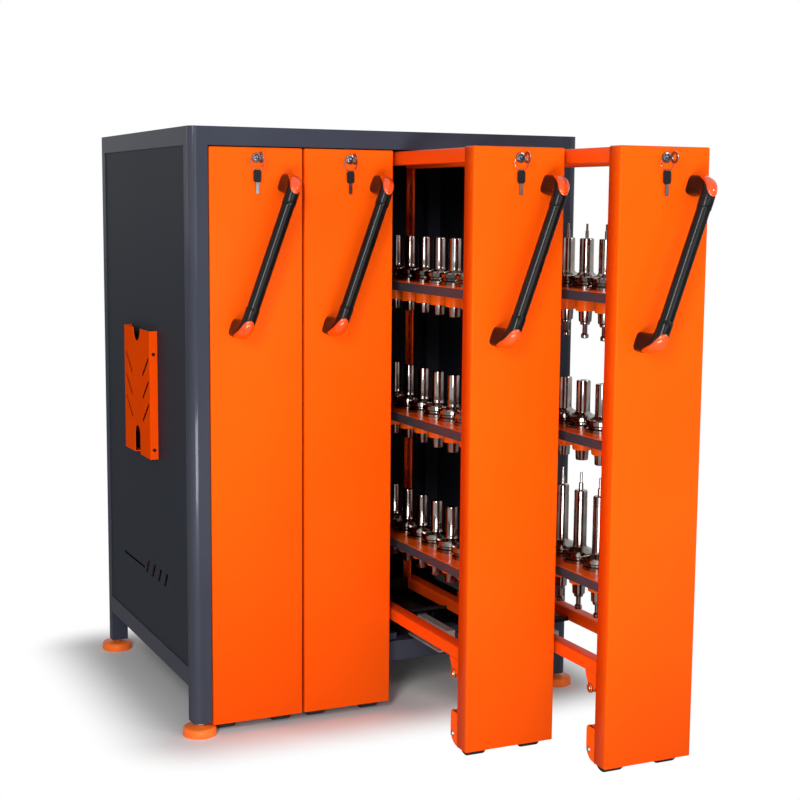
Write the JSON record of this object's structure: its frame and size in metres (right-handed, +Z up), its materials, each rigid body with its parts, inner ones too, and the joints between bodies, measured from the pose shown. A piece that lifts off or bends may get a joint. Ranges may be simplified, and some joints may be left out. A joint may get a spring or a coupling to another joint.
{
  "type": "tool storage cabinet",
  "caption": "Steel storage cabinet whose tall pull-out bays carry machine tool holders in rows of sockets on trays, each bay with a slanted handle, a key lock and wheels.",
  "frame": {"origin": "middle of the floor area that the cabinet and its open bays cover, on the floor", "axes": "+X to the right as seen from the front, +Y towards the back, +Z up"},
  "size_m": [0.892, 1.2914, 1.2],
  "materials": {
    "grey_paint": "fine textured blue-grey powder coat",
    "orange_paint": "satin orange powder coat",
    "orange_plate": "orange plate and sockets",
    "tray_paint": "dark grey powder coat",
    "black_paint": "black paint",
    "zinc": "bright zinc plate",
    "foot_plastic": "moulded orange",
    "handle_black": "satin black",
    "handle_orange": "glossy orange",
    "lock_steel": "bright nickel",
    "key_black": "black moulded key head",
    "holder_steel": "polished hardened steel",
    "wheel_rubber": "dark solid rubber"
  },
  "bodies": {
    "cabinet": {"cabinet_frame": "grey_paint", "left_side_panel": "grey_paint", "right_side_panel": "grey_paint", "back_panel": "grey_paint", "document_pocket": "orange_paint", "outer_runners": "black_paint"},
    "foot_front_left": {"foot_front_left": "foot_plastic"},
    "foot_back_left": {"foot_back_left": "foot_plastic"},
    "foot_front_right": {"foot_front_right": "foot_plastic"},
    "foot_back_right": {"foot_back_right": "foot_plastic"},
    "bay_1": {"bay_1_panel": "orange_paint", "bay_1_frame": "orange_paint", "bay_1_trays": "tray_paint", "bay_1_socket_plates": "orange_plate", "bay_1_runner_rail": "black_paint", "bay_1_handle": "handle_black", "bay_1_handle_caps": "handle_orange", "bay_1_lock_barrel": "lock_steel"},
    "bay_1_runner_middle": {"bay_1_runner_middle": "zinc"},
    "bay_1_lock_plug": {"bay_1_lock_plug": "lock_steel"},
    "bay_1_spare_key": {"bay_1_spare_key": "key_black"},
    "bay_1_wheels": {"bay_1_wheels": "wheel_rubber"},
    "bay_2": {"bay_2_panel": "orange_paint", "bay_2_frame": "orange_paint", "bay_2_trays": "tray_paint", "bay_2_socket_plates": "orange_plate", "bay_2_runner_rail": "black_paint", "bay_2_handle": "handle_black", "bay_2_handle_caps": "handle_orange", "bay_2_lock_barrel": "lock_steel"},
    "bay_2_runner_middle": {"bay_2_runner_middle": "zinc"},
    "bay_2_lock_plug": {"bay_2_lock_plug": "lock_steel"},
    "bay_2_spare_key": {"bay_2_spare_key": "key_black"},
    "bay_2_wheels": {"bay_2_wheels": "wheel_rubber"},
    "bay_3": {"bay_3_panel": "orange_paint", "bay_3_frame": "orange_paint", "bay_3_trays": "tray_paint", "bay_3_socket_plates": "orange_plate", "bay_3_runner_rail": "black_paint", "bay_3_handle": "handle_black", "bay_3_handle_caps": "handle_orange", "bay_3_lock_barrel": "lock_steel", "bay_3_tool_holders": "holder_steel"},
    "bay_3_runner_middle": {"bay_3_runner_middle": "zinc"},
    "bay_3_lock_plug": {"bay_3_lock_plug": "lock_steel"},
    "bay_3_spare_key": {"bay_3_spare_key": "key_black"},
    "bay_3_wheels": {"bay_3_wheels": "wheel_rubber"},
    "bay_4": {"bay_4_panel": "orange_paint", "bay_4_frame": "orange_paint", "bay_4_trays": "tray_paint", "bay_4_socket_plates": "orange_plate", "bay_4_runner_rail": "black_paint", "bay_4_handle": "handle_black", "bay_4_handle_caps": "handle_orange", "bay_4_lock_barrel": "lock_steel", "bay_4_tool_holders": "holder_steel"},
    "bay_4_runner_middle": {"bay_4_runner_middle": "zinc"},
    "bay_4_lock_plug": {"bay_4_lock_plug": "lock_steel"},
    "bay_4_spare_key": {"bay_4_spare_key": "key_black"},
    "bay_4_wheels": {"bay_4_wheels": "wheel_rubber"}
  },
  "joints": [
    {"name": "foot_front_left_turn", "type": "hinge", "parent": "cabinet", "child": "foot_front_left", "pos_m": [-0.412, -0.03625, 0.009], "axis": [0, 0, 1], "continuous": true},
    {"name": "foot_back_left_turn", "type": "hinge", "parent": "cabinet", "child": "foot_back_left", "pos_m": [-0.412, 0.61175, 0.009], "axis": [0, 0, 1], "continuous": true},
    {"name": "foot_front_right_turn", "type": "hinge", "parent": "cabinet", "child": "foot_front_right", "pos_m": [0.412, -0.03625, 0.009], "axis": [0, 0, 1], "continuous": true},
    {"name": "foot_back_right_turn", "type": "hinge", "parent": "cabinet", "child": "foot_back_right", "pos_m": [0.412, 0.61175, 0.009], "axis": [0, 0, 1], "continuous": true},
    {"name": "bay_1_slide", "type": "slide", "parent": "cabinet", "child": "bay_1", "axis": [0, -1, 0], "range_m": [0, 0.54]},
    {"name": "bay_1_runner_slide", "type": "slide", "parent": "cabinet", "child": "bay_1_runner_middle", "axis": [0, -1, 0], "range_m": [0, 0.27]},
    {"name": "bay_1_lock_turn", "type": "hinge", "parent": "bay_1", "child": "bay_1_lock_plug", "pos_m": [-0.2931, -0.05625, 1.142], "axis": [0, -1, 0], "range_deg": [0, 90]},
    {"name": "bay_1_spare_key_swing", "type": "hinge", "parent": "bay_1", "child": "bay_1_spare_key", "pos_m": [-0.2931, -0.05725, 1.142], "axis": [0, -1, 0], "range_deg": [-60, 25]},
    {"name": "bay_1_wheels_roll", "type": "hinge", "parent": "bay_1", "child": "bay_1_wheels", "pos_m": [-0.2931, -0.01225, 0.025], "axis": [1, 0, 0], "continuous": true},
    {"name": "bay_2_slide", "type": "slide", "parent": "cabinet", "child": "bay_2", "axis": [0, -1, 0], "range_m": [0, 0.54]},
    {"name": "bay_2_runner_slide", "type": "slide", "parent": "cabinet", "child": "bay_2_runner_middle", "axis": [0, -1, 0], "range_m": [0, 0.27]},
    {"name": "bay_2_lock_turn", "type": "hinge", "parent": "bay_2", "child": "bay_2_lock_plug", "pos_m": [-0.0977, -0.05625, 1.142], "axis": [0, -1, 0], "range_deg": [0, 90]},
    {"name": "bay_2_spare_key_swing", "type": "hinge", "parent": "bay_2", "child": "bay_2_spare_key", "pos_m": [-0.0977, -0.05725, 1.142], "axis": [0, -1, 0], "range_deg": [-60, 25]},
    {"name": "bay_2_wheels_roll", "type": "hinge", "parent": "bay_2", "child": "bay_2_wheels", "pos_m": [-0.0977, -0.01225, 0.025], "axis": [1, 0, 0], "continuous": true},
    {"name": "bay_3_slide", "type": "slide", "parent": "cabinet", "child": "bay_3", "axis": [0, -1, 0], "range_m": [-0.34, 0.2]},
    {"name": "bay_3_runner_slide", "type": "slide", "parent": "cabinet", "child": "bay_3_runner_middle", "axis": [0, -1, 0], "range_m": [-0.17, 0.1]},
    {"name": "bay_3_lock_turn", "type": "hinge", "parent": "bay_3", "child": "bay_3_lock_plug", "pos_m": [0.0977, -0.39625, 1.142], "axis": [0, -1, 0], "range_deg": [0, 90]},
    {"name": "bay_3_spare_key_swing", "type": "hinge", "parent": "bay_3", "child": "bay_3_spare_key", "pos_m": [0.0977, -0.39725, 1.142], "axis": [0, -1, 0], "range_deg": [-60, 25]},
    {"name": "bay_3_wheels_roll", "type": "hinge", "parent": "bay_3", "child": "bay_3_wheels", "pos_m": [0.0977, -0.35225, 0.025], "axis": [1, 0, 0], "continuous": true},
    {"name": "bay_4_slide", "type": "slide", "parent": "cabinet", "child": "bay_4", "axis": [0, -1, 0], "range_m": [-0.521, 0.019]},
    {"name": "bay_4_runner_slide", "type": "slide", "parent": "cabinet", "child": "bay_4_runner_middle", "axis": [0, -1, 0], "range_m": [-0.2605, 0.0095]},
    {"name": "bay_4_lock_turn", "type": "hinge", "parent": "bay_4", "child": "bay_4_lock_plug", "pos_m": [0.2931, -0.57725, 1.142], "axis": [0, -1, 0], "range_deg": [0, 90]},
    {"name": "bay_4_spare_key_swing", "type": "hinge", "parent": "bay_4", "child": "bay_4_spare_key", "pos_m": [0.2931, -0.57825, 1.142], "axis": [0, -1, 0], "range_deg": [-60, 25]},
    {"name": "bay_4_wheels_roll", "type": "hinge", "parent": "bay_4", "child": "bay_4_wheels", "pos_m": [0.2931, -0.53325, 0.025], "axis": [1, 0, 0], "continuous": true}
  ],
  "couplings": [
    {"joint": "bay_1_runner_slide", "follows": "bay_1_slide", "ratio": 0.5},
    {"joint": "bay_2_runner_slide", "follows": "bay_2_slide", "ratio": 0.5},
    {"joint": "bay_3_runner_slide", "follows": "bay_3_slide", "ratio": 0.5},
    {"joint": "bay_4_runner_slide", "follows": "bay_4_slide", "ratio": 0.5}
  ]
}
